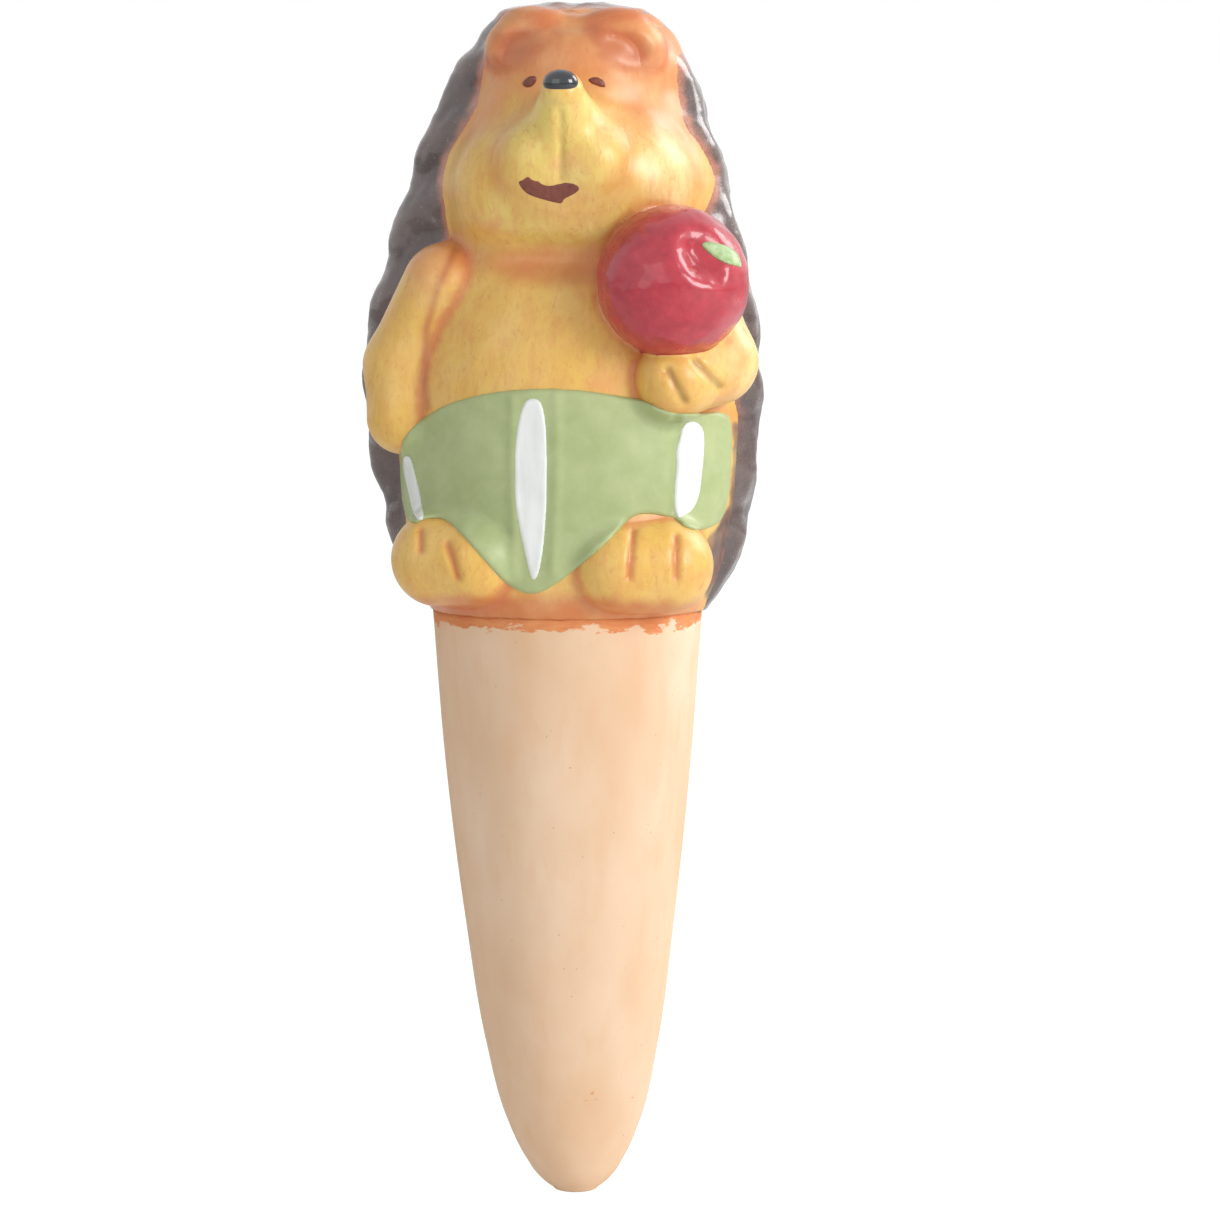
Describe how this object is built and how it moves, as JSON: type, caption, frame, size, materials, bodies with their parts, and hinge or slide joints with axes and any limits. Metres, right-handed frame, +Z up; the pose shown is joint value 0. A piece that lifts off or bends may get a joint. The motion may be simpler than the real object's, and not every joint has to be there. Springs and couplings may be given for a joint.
{
  "type": "self watering plant spike",
  "caption": "Hollow terracotta watering spike: a porous clay cone under a painted hedgehog figure that holds an apple, filled with water through a hole in its back.",
  "frame": {"origin": "on the spike's axis at the soil line, where the bare spike enters the painted figure", "axes": "+Z up along the spike's axis towards the head, -Y towards the figure's face, +X towards the figure's own left, which holds the apple"},
  "size_m": [0.0659, 0.06, 0.19],
  "materials": {
    "bare_terracotta": "bare porous fired clay",
    "yellow_paint": "satin hand paint over clay, orange washes in the creases",
    "orange_paint": "satin hand paint over clay",
    "brown_gloss": "glossy brown paint with pale specks",
    "black_gloss": "glossy black paint",
    "eye_paint": "brown paint",
    "red_gloss": "glossy red paint",
    "leaf_paint": "pale green paint",
    "green_paint": "satin sage green paint"
  },
  "bodies": {
    "root": {"spike": "bare_terracotta", "front_shell": "yellow_paint", "quill_coat": "brown_gloss", "muzzle": "yellow_paint", "nose": "black_gloss", "left_eye": "eye_paint", "right_eye": "eye_paint", "left_ear": "orange_paint", "right_ear": "orange_paint", "hanging_arm": "yellow_paint", "holding_arm": "yellow_paint", "apple": "red_gloss", "leaf": "leaf_paint", "trousers": "green_paint", "left_foot": "yellow_paint", "right_foot": "yellow_paint"}
  },
  "joints": []
}
